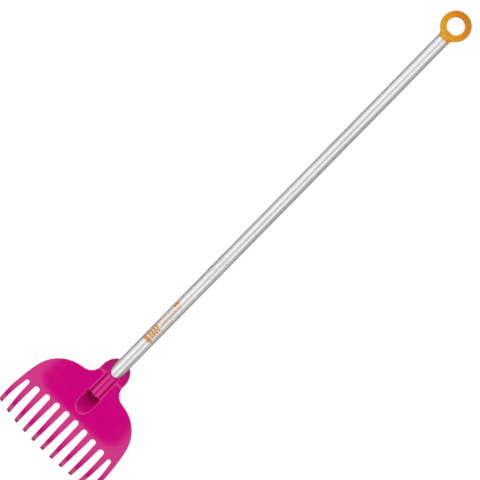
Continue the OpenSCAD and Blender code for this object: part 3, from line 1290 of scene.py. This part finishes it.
@dataclass
class RakeHead:
    """The moulded head: the hood, the plate, the tines, and the socket with its bridge and pocket.

    The places along the tube, which are worked out from these sizes, are counted from the ring's centre.

    Attributes:
        wall: Thickness of the plate and the tines.
        plate_rise: Height of the plate's top over the tube's axis.
        hood_angle: Slope of the hood, in degrees.
        hood_bend_radius: Radius of the bend from the hood to the plate.
        plate_length: Length of the plate from the hood's bend, taken as sharp, to the slow bend.
        dome_flat: Half the width over which the plate doesn't drop.
        side_drop: How far the plate drops at the outermost root.
        side_power: How the drop grows towards the sides.
        tube_end: Where the tube ends.
        tube_radius: Radius of the tube.
        tube_gap: Gap between the tube and its bore.
        tube_set_back: How far the tube stops short of the bridge's end.
        bridge_wall: Thickness of the bridge over the tube.
        bridge_gap: How much wider than the bridge the pocket is, on each side.
        bridge_length: Length of the bridge.
        bridge_skin: How far the bridge stays under the plate's top.
        bridge_fillet: Fillet between the bridge and the plate.
        trough_wall: Thickness of the trough under the tube.
        lip_length: How far the grooves start past the bridge's lip.
        pocket_length: Length of the pocket past the bridge.
        groove_half: Half the width of the opening that leaves a groove on each side of the bridge.
        groove_flare: Radius that the opening's rim flares by.
        groove_turn: Where the opening's upper end steps up the tube, as shares of the pocket's half width.
        groove_step: How far it steps, as a share of that half width.
        groove_end_steepness: How much tighter the rounding of that end is along the tube.
        groove_round: Rounding of the opening's corners.
        groove_depth: Depth of the grooves' floor under the axis, and what they run past the bridge.
        ramp_angle: Slope of the pocket's and the trough's far end, in degrees.
        ramp_gap: How much wider than the rest that end is.
        tab_half: Half the width of the tab round the tube.
        tab_reach: How far the tab's round end reaches up the tube.
        tab_set: How far past the hood's start the tab's sides begin.
        tab_side: Length of the tab's straight side.
        tab_steps: Points along the tab's round end.
        neck: The hollow bend between the tab and the shoulder.
        shoulder_run: The straight between the two.
        shoulder: The shoulder's bend.
        flank: The slow bend down to the outermost tine.
        hood_drop: How far the hood's lower edge lies under the axis.
        root_bend: The slow bend over the tines' roots.
        curl: The tines' curl.
        root_turn_share: Share of the slow bend that lies before the roots.
        slot_set: Where the middle slots start past the slow bend's start.
        root_set: Where the roots lie past the slow bend's start.
        short_share: How much shorter the outermost tine is.
        short_power: How that grows towards the sides.
        boss_radius: Radius of the screw's boss.
        boss_height: How far the boss stands out under the trough.
        screw_inset: How far from the tube's end the screw sits.
        screw_hole_radius: Radius of the screw's hole.
        screw_recess_radius: Radius of the recess for its head.
        screw_recess_depth: Depth of that recess.
        edge_round: Rounding of the edges.
        tip_round: Rounding of the tines' tips, seen from above.
        rim_round: Rounding of the pocket's rim and the trough's end.
        bore_round: Rounding of the rims of the bore, the recess and the bridge.
        fillet: Fillets of the trough and the boss.
        spare: How far the tines and the bore run past their ends before they are cut.
        margin: Room round the head in the field.
        tines: The tines.
        moulder: How the field becomes a mesh.
    """

    wall: float = 0.0034
    plate_rise: float = 0.0156
    hood_angle: float = 38.0
    hood_bend_radius: float = 0.015
    plate_length: float = 0.074
    dome_flat: float = 0.040
    side_drop: float = 0.0046
    side_power: float = 2.4
    tube_end: float = 0.8824
    tube_radius: float = 0.012
    tube_gap: float = 0.00015
    tube_set_back: float = 0.003
    bridge_wall: float = 0.00155
    bridge_gap: float = 0.0003
    bridge_length: float = 0.046
    bridge_skin: float = 0.0004
    bridge_fillet: float = 0.00025
    trough_wall: float = 0.0026
    lip_length: float = 0.005
    pocket_length: float = 0.0180
    groove_half: float = 0.0102
    groove_flare: float = 0.0045
    groove_turn: tuple[float, float] = (0.25, 0.75)
    groove_step: float = 0.54
    groove_end_steepness: float = 2.4
    groove_round: float = 0.002
    groove_depth: float = 0.001
    ramp_angle: float = 40.0
    ramp_gap: float = 0.0003
    tab_half: float = 0.02625
    tab_reach: float = 0.0295
    tab_set: float = 0.014
    tab_side: float = 0.0038
    tab_steps: int = 24
    neck: Run = Run(0.0223, 79.15, 18)
    shoulder_run: float = 0.0096
    shoulder: Run = Run(0.0664, -65.4, 20)
    flank: Run = Run(0.219, -5.75, 6)
    hood_drop: float = 0.0187
    root_bend: Run = Run(0.163, -25)
    curl: Run = Run(0.059, -55)
    root_turn_share: float = 3 / 7
    slot_set: float = 0.0194
    root_set: float = 0.033
    short_share: float = 0.15
    short_power: float = 2.6
    boss_radius: float = 0.0065
    boss_height: float = 0.0024
    screw_inset: float = 0.024
    screw_hole_radius: float = 0.0021
    screw_recess_radius: float = 0.0041
    screw_recess_depth: float = 0.0028
    edge_round: float = 0.0009
    tip_round: float = 0.0031
    rim_round: float = 0.0018
    bore_round: float = 0.00045
    fillet: float = 0.0015
    spare: float = 0.008
    margin: float = 0.004
    tines: Tines = field(default_factory=Tines)
    moulder: Moulder = Moulder(cell=0.0007, kept=0.3)

    def __post_init__(self) -> None:
        """Works out the places along the tube and the side views."""
        slope = math.tan(math.radians(self.hood_angle))
        self.bridge_radius = self.tube_radius + self.tube_gap + self.bridge_wall
        self.pocket_half = self.bridge_radius + self.bridge_gap
        self.trough_radius = self.pocket_half + self.trough_wall
        self.bridge_end = self.tube_end + self.tube_set_back
        self.lip_at = self.bridge_end - self.bridge_length
        self.hood_at = self.lip_at - self.tube_radius / slope
        self.bend_at = self.hood_at + self.plate_rise / slope + self.plate_length
        self.root_at = self.bend_at + self.root_set
        self.tab_at = self.hood_at + self.tab_set
        self.screw_at = self.tube_end - self.screw_inset
        cut_back = self.hood_bend_radius * math.tan(math.radians(self.hood_angle / 2))
        rise = (self.plate_rise + self.hood_drop) / math.sin(math.radians(self.hood_angle))
        start = Place(self.hood_at - self.hood_drop / slope, -self.hood_drop, self.hood_angle)
        before = Run(self.root_bend.size, self.root_bend.turn * self.root_turn_share)
        after = Run(self.root_bend.size, self.root_bend.turn - before.turn)
        self.plate = Chain(start, (
            Run(rise - cut_back), Run(self.hood_bend_radius, -self.hood_angle),
            Run(self.plate_length - cut_back), before,
        ))
        self.root = self.plate.end()
        bent = Chain(self.root, (after, self.curl))
        self.tip = bent.end()
        self.tine = Chain(self.root, (after, self.curl, Run(self.spare)))

    def outline(self) -> list[tuple[float, float]]:
        """Draws the right half of the outline.

        Returns:
            The points (x, y) with y = -s. The tines run past their tips.
        """
        turns = [math.pi / 2 * k / self.tab_steps for k in range(self.tab_steps)]
        points = [
            (self.tab_half * math.sin(a), self.tab_reach * math.cos(a) - self.tab_at) for a in turns
        ]
        side = Chain(Place(self.tab_half, -self.tab_at, -90), (
            Run(self.tab_side), self.neck, Run(self.shoulder_run), self.shoulder, self.flank,
        ))
        points += side.points()
        length = self.tip.a - self.root_at
        last = len(self.tines.roots) - 1
        points += self.tines.side(last, 1, self.root_at, length, self.spare)
        for k in range(last - 1, -1, -1):
            points += self.tines.side(k + 1, -1, self.root_at, length, self.spare)[::-1]
            points += self.tines.slot(k, self.bend_at + self.slot_set)
            points += self.tines.side(k, 1, self.root_at, length, self.spare)
        return points

    def _shell(self, x: Array, y: Array, z: Array) -> Array:
        """Shapes the plate and the tines, without the socket.

        Args:
            x: Places across.
            y: Places along.
            z: Places upwards.

        Returns:
            The field.
        """
        s = -y
        reach = self.tines.roots[-1] * self.tines.pitch
        short = 1 - self.short_share * (x / reach) ** self.short_power
        domed = reach - self.dome_flat
        past_flat = np.maximum(0, x - self.dome_flat) / domed
        slope = self.side_power * self.side_drop * past_flat ** (self.side_power - 1) / domed
        lean = np.hypot(1, slope)
        level = z + self.side_drop * past_flat**self.side_power
        over_plate = self.plate.height(s, level)
        tine_s = self.root.a + (s - self.root.a) / short
        tine_z = self.root.b + (level - self.root.b) / short
        over_tine = short * self.tine.height(tine_s, tine_z)
        above = np.where(np.abs(over_plate) < np.abs(over_tine), over_plate, over_tine) / lean
        sheet = np.abs(above + self.wall / 2) - self.wall / 2
        heading = math.radians(self.tip.heading)
        off_s, off_z = tine_s - self.tip.a, tine_z - self.tip.b
        past_tip = short * (off_s * math.cos(heading) + off_z * math.sin(heading))
        plan = outline_field(self.outline(), x[:, 0, 0], y[0, :, 0])[:, :, None]
        return both(both(plan, past_tip, self.tip_round), sheet, self.edge_round)

    def _socket(self, x: Array, s: Array, z: Array, shell: Array) -> Array:
        """Adds the socket: the trough, the pocket, the grooves, the bridge, the bore and the screw's boss.

        Args:
            x: Places across.
            s: Places from the ring's centre towards the tines.
            z: Places upwards.
            shell: The field of the plate and the tines.

        Returns:
            The field of the whole head.
        """
        turn = math.radians(self.ramp_angle)
        ramp_at = self.bridge_end + self.pocket_length
        ramp_z = (ramp_at - s) * math.sin(turn) + (z - self.plate_rise) * math.cos(turn)
        below_top = self.plate.height(s, z)
        ramp = trough(x, ramp_z, self.trough_radius + self.ramp_gap)
        block = both(trough(x, z, self.trough_radius), ramp, self.rim_round)
        block = both(block, below_top + self.wall / 2)
        block = both(block, self.plate.start.a + self.edge_round - s, self.edge_round)
        body = either(shell, block, self.fillet)
        past = both(trough(x, z, self.pocket_half), trough(x, ramp_z, self.pocket_half + self.ramp_gap))
        past = both(past, self.bridge_end - s)
        body = without(body, past, self.rim_round)
        top_at = self.lip_at + self.lip_length - self.pocket_half / 2
        turn_from, turn_to = self.groove_turn
        share = np.clip((turn_to - x / self.pocket_half) / (turn_to - turn_from), 0, 1)
        end = self.groove_end_steepness * (top_at + self.pocket_half * self.groove_step * share - s)
        beside = both(x - self.groove_half, end, self.groove_round)
        beside = either(beside, -below_top, self.groove_flare)
        beside = both(both(beside, s - self.bridge_end - self.groove_depth), -self.groove_depth - z)
        body = without(body, both(beside, x - self.trough_radius))
        round_x = np.hypot(x, z)
        bridge = both(round_x - self.bridge_radius, below_top + self.bridge_skin, self.edge_round)
        bridge = both(both(bridge, s - self.bridge_end, self.bore_round), self.hood_at - s)
        body = either(body, bridge, self.bridge_fillet)
        round_screw = np.hypot(x, s - self.screw_at)
        boss_face = self.trough_radius + self.boss_height
        boss_span = np.maximum(-boss_face - z, z + self.bridge_radius)
        body = either(body, both(round_screw - self.boss_radius, boss_span, self.edge_round), self.fillet)
        bore = np.maximum(round_x - self.tube_radius - self.tube_gap, s - self.bridge_end - self.spare)
        body = without(body, bore, self.bore_round)
        recess = np.maximum(round_screw - self.screw_recess_radius, z + boss_face - self.screw_recess_depth)
        body = without(body, recess, self.bore_round)
        return without(body, np.maximum(round_screw - self.screw_hole_radius, z))

    def build(self, place: Matrix, material: bpy.types.Material) -> bpy.types.Object:
        """Moulds and dresses the head.

        Args:
            place: Matrix from the tube's frame to the row's.
            material: The head's finish.

        Returns:
            The head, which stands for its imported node.
        """
        half_width = self.tines.edge(len(self.tines.roots) - 1, 1, 0) + self.margin
        ax = self.moulder.axis(0.0, half_width)
        ay = self.moulder.axis(-self.tip.a - self.margin, self.tab_reach - self.tab_at + self.margin)
        az = self.moulder.axis(self.tip.b - self.margin, self.plate_rise + self.margin)
        x, y, z = ax[:, None, None], ay[None, :, None], az[None, None, :]
        values = self._socket(x, -y, z, self._shell(x, y, z))
        piece = self.moulder.mould("head_moulding", values, ax, ay, az, place)
        dress(piece, material)
        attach(piece, BODY)
        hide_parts(Node.HEAD.value)
        return piece


@dataclass
class HangingRing:
    """The moulded ring with its collar and the plug inside the tube.

    Attributes:
        outer_radius: Radius of the ring.
        hole_radius: Radius of its hole.
        thickness: Thickness of the ring.
        edge_round: Rounding of its edges.
        collar_radius: Radius of the collar, which is the tube's.
        dome_at: Where the collar's round end has its centre.
        joint_at: Where the collar meets the tube.
        joint_round: Rounding of the collar's edge there.
        collar_fillet: Fillet between the ring and the collar.
        plug_radius: Radius of the plug.
        plug_wall: Thickness of its wall.
        plug_length: Length of the plug.
        plug_floor: Thickness of its floor.
        plug_round: Rounding of its end.
        rib_radius: Radius of its ribs.
        rib_half: Half the width of a rib.
        rib_shares: Where the ribs stand, as shares of the plug's length.
        margin: Room round the ring in the field.
        moulder: How the field becomes a mesh.
    """

    outer_radius: float = 0.027
    hole_radius: float = 0.016
    thickness: float = 0.014
    edge_round: float = 0.003
    collar_radius: float = 0.012
    dome_at: float = 0.0284
    joint_at: float = 0.0324
    joint_round: float = 0.0003
    collar_fillet: float = 0.0045
    plug_radius: float = 0.01045
    plug_wall: float = 0.002
    plug_length: float = 0.036
    plug_floor: float = 0.003
    plug_round: float = 0.0006
    rib_radius: float = 0.01075
    rib_half: float = 0.001
    rib_shares: tuple[float, ...] = (0.2, 0.55, 0.9)
    margin: float = 0.002
    moulder: Moulder = Moulder(cell=0.0005, kept=0.3)

    def build(self, place: Matrix, material: bpy.types.Material) -> bpy.types.Object:
        """Moulds and dresses the ring.

        Args:
            place: Matrix from the tube's frame to the row's.
            material: The ring's finish.

        Returns:
            The ring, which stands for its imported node.
        """
        plug_end = self.joint_at + self.plug_length
        ax = self.moulder.axis(0.0, self.outer_radius + self.margin)
        ay = self.moulder.axis(-plug_end - self.margin, self.outer_radius + self.margin)
        az = self.moulder.axis(-self.collar_radius - self.margin, self.collar_radius + self.margin)
        x, s, z = ax[:, None, None], -ay[None, :, None], az[None, None, :]
        middle = (self.outer_radius + self.hole_radius) / 2
        half_width = (self.outer_radius - self.hole_radius) / 2
        across_band = np.abs(np.hypot(x, s) - middle) - half_width
        ring = both(across_band, np.abs(z) - self.thickness / 2, self.edge_round)
        before = np.minimum(s - self.dome_at, 0)
        collar = np.sqrt(x**2 + z**2 + before**2) - self.collar_radius
        collar = both(collar, s - self.joint_at, self.joint_round)
        round_x = np.hypot(x, z)
        plug = np.maximum(round_x - self.plug_radius, self.dome_at - s)
        plug = both(plug, s - plug_end, self.plug_round)
        for share in self.rib_shares:
            off = np.abs(s - self.joint_at - share * self.plug_length) - self.rib_half
            plug = np.minimum(plug, both(round_x - self.rib_radius, off, self.rib_half / 2))
        inside = round_x - self.plug_radius + self.plug_wall
        hollow = np.maximum(inside, self.joint_at + self.plug_floor - s)
        values = either(ring, collar, self.collar_fillet)
        values = np.minimum(values, np.maximum(plug, -hollow))
        piece = self.moulder.mould("ring_moulding", values.astype(np.float32), ax, ay, az, place)
        dress(piece, material)
        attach(piece, BODY)
        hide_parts(Node.RING.value)
        return piece


# Stage


class Dimming(NamedTuple):
    """How the tent dims towards a side.

    Attributes:
        start: Where it starts to dim, as the share of a direction that goes to that side.
        end: Where it is dimmed fully.
        rest: Share of the light that is left there.
    """

    start: float
    end: float
    rest: float


@dataclass
class Studio:
    """The pale floor, the two soft boxes and the camera.

    Attributes:
        frame_pixels: Width of the photograph.
        pixel_size: Size of a pixel at the tube's axis.
        ring_pixel: Where the ring's centre lies in the photograph.
        tube_direction: Direction of the tube in the photograph, from the ring to the head, y down.
        distance: Distance of the camera.
        sensor: Width of the camera's sensor, in millimetres.
        view_depth: How far the camera sees.
        floor_half: Half the width of the floor.
        floor_colour: Colour of the floor.
        floor_lift: How far the floor is lifted towards white for the rays that show the background.
        tent: Strength of the white tent.
        ends: Dimming towards both ends of the tube.
        right: Dimming towards the right.
        left: Dimming towards the left.
        hole: Strength that is left in the camera's hole overhead.
        hole_across: Half the hole's angle across the tube, in degrees.
        hole_along: Half its angle along the tube, in degrees.
        hole_softness: Softness of its rim, as a share.
        horizon: Height of a direction up to which the background is white.
        box_angle: Angle of the soft boxes from overhead, in degrees.
        box_distance: Their distance.
        box_width: Their width.
        box_length: Their length.
        box_powers: Power of the left one and the right one.
    """

    frame_pixels: int = 480
    pixel_size: float = 0.0017165
    ring_pixel: tuple[float, float] = (455.88, 26.39)
    tube_direction: tuple[float, float] = (-0.70036, 0.71379)
    distance: float = 6.0
    sensor: float = 36.0
    view_depth: float = 60.0
    floor_half: float = 40.0
    floor_colour: Colour = (0.20, 0.20, 0.20)
    floor_lift: float = 0.87
    tent: float = 1.27
    ends: Dimming = Dimming(0.55, 0.92, 0.12)
    right: Dimming = Dimming(0.74, 0.92, 0.0)
    left: Dimming = Dimming(0.88, 0.98, 0.0)
    hole: float = 0.01
    hole_across: float = 13.6
    hole_along: float = 15.5
    hole_softness: float = 0.12
    horizon: float = 0.05
    box_angle: float = 48.0
    box_distance: float = 2.6
    box_width: float = 1.6
    box_length: float = 3.0
    box_powers: tuple[float, ...] = (4.0, 5.2)

    def camera(self, tube: TubeFrame) -> bpy.types.Object:
        """Makes the camera at the photograph's angle.

        Args:
            tube: The tube's frame.

        Returns:
            The scene's camera.
        """
        da, db = self.tube_direction
        middle = self.frame_pixels / 2
        off = Vector((middle - self.ring_pixel[0], middle - self.ring_pixel[1]))
        along = off.dot(Vector((da, db))) * self.pixel_size
        across = off.dot(Vector((db, -da))) * self.pixel_size
        right = Vector((db, -da, 0.0))
        up = Vector((da, db, 0.0))
        turn = Matrix((right, up, Vector((0.0, 0.0, 1.0)))).transposed()
        place = Matrix.Translation(Vector((across, -along, self.distance))) @ turn.to_4x4()
        data = bpy.data.cameras.new("camera")
        data.sensor_width = self.sensor
        data.lens = self.sensor * self.distance / (self.frame_pixels * self.pixel_size)
        data.clip_end = self.view_depth
        camera = add_object("camera", data)
        camera.matrix_world = tube.matrix() @ place
        bpy.context.scene.camera = camera
        return camera

    def lights(self, tube: TubeFrame) -> None:
        """Hangs a soft box on each side of the camera, the right one a little brighter.

        Args:
            tube: The tube's frame.
        """
        centre = tube.ring_centre.copy()
        centre.y = 0.0
        for side, name, power in zip((-1, 1), ("box_left", "box_right"), self.box_powers):
            data = bpy.data.lights.new(name, "AREA")
            data.shape = "RECTANGLE"
            data.size, data.size_y = self.box_width, self.box_length
            data.energy = power
            light = add_object(name, data)
            angle = math.radians(self.box_angle) * side
            light.location = centre + self.box_distance * Vector((math.sin(angle), 0.0, math.cos(angle)))
            light.rotation_euler = (0.0, angle, 0.0)
            light.visible_camera = False

    @staticmethod
    def _seen(g: Graph) -> bpy.types.NodeSocket:
        """Finds the rays that show the background: from the camera, off gloss and through glass.

        Args:
            g: The graph of a material or the world.

        Returns:
            A socket that is 1 for them.
        """
        path = g.add("ShaderNodeLightPath").outputs
        seen = g.maths("MAXIMUM", path["Is Camera Ray"], path["Is Glossy Ray"])
        return g.maths("MAXIMUM", seen, path["Is Transmission Ray"])

    def floor(self) -> bpy.types.Object:
        """Lays the pale floor.

        Returns:
            The floor.
        """
        mesh = bpy.data.meshes.new("floor")
        h = self.floor_half
        mesh.from_pydata([(-h, -h, 0), (h, -h, 0), (h, h, 0), (-h, h, 0)], [], [(0, 1, 2, 3)])
        floor = add_object("floor", mesh)
        material = bpy.data.materials.new("pale_floor")
        material.use_nodes = True
        g = Graph(material.node_tree)
        g.tree.nodes.clear()
        diffuse = g.add("ShaderNodeBsdfDiffuse", Color=self.floor_colour)
        lift = g.add("ShaderNodeEmission", Strength=g.maths("MULTIPLY", self._seen(g), self.floor_lift))
        joined = g.add("ShaderNodeAddShader")
        g.feed(joined.inputs[0], diffuse.outputs[0])
        g.feed(joined.inputs[1], lift.outputs[0])
        g.add("ShaderNodeOutputMaterial", Surface=joined.outputs[0])
        mesh.materials.append(material)
        return floor

    def world(self) -> None:
        """Hangs a white tent over the rake, with a dark hole for the camera and dimmer to its sides."""
        world = bpy.data.worlds.new("room")
        bpy.context.scene.world = world
        world.use_nodes = True
        g = Graph(world.node_tree)
        g.tree.nodes.clear()
        toward = g.add("ShaderNodeSeparateXYZ", Vector=g.add("ShaderNodeTexCoord").outputs["Generated"])
        across, along, height = (toward.outputs[axis] for axis in "XYZ")
        off_across = g.maths("DIVIDE", across, math.sin(math.radians(self.hole_across)))
        off_along = g.maths("DIVIDE", along, math.sin(math.radians(self.hole_along)))
        square = g.maths("MULTIPLY", off_across, off_across)
        off = g.maths("SQRT", g.maths("MULTIPLY_ADD", off_along, off_along, square))
        tent = g.between(off, 1.0 - self.hole_softness, 1.0 + self.hole_softness, self.hole, self.tent)
        leftwards = g.maths("MULTIPLY", across, -1.0)
        sides = ((g.maths("ABSOLUTE", along), self.ends), (across, self.right), (leftwards, self.left))
        for toward_side, dims in sides:
            tent = g.maths("MULTIPLY", tent, g.between(toward_side, dims.start, dims.end, 1.0, dims.rest))
        shown = g.maths("MULTIPLY", self._seen(g), g.maths("LESS_THAN", height, self.horizon))
        strength = g.maths("MAXIMUM", tent, shown)
        background = g.add("ShaderNodeBackground", Color=(1.0, 1.0, 1.0), Strength=strength)
        g.add("ShaderNodeOutputWorld", Surface=background.outputs[0])

    def build(self, tube: TubeFrame) -> None:
        """Sets up the stage and the view settings.

        Args:
            tube: The tube's frame.
        """
        self.camera(tube)
        self.lights(tube)
        self.floor()
        self.world()
        bpy.context.scene.view_settings.view_transform = "Standard"


def main() -> None:
    """Sets the stage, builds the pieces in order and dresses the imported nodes."""
    logging.basicConfig(level=logging.INFO, format="%(name)s: %(message)s")
    tube = TubeFrame.from_record(frame["record"])
    place = tube.matrix()
    Studio().build(tube)
    pieces = {
        "head": RakeHead().build(place, HEAD_PLASTIC.build()),
        "ring": HangingRing().build(place, RING_PLASTIC.build()),
    }
    for name, piece in pieces.items():
        log.info("%s: %d faces", name, len(piece.data.polygons))
    finishes = {
        Node.TUBE: TUBE_METAL.build(),
        Node.SCREW: SCREW_STEEL.build(),
        Node.LABEL: LOWER_LABEL.build(tube),
        Node.UPPER_LABEL: UPPER_LABEL.build(tube),
    }
    for node, material in finishes.items():
        dress(frame["nodes"][node.value], material)
        log.info("%s: packed node dressed", node.value)


if __name__ == "__main__":
    main()
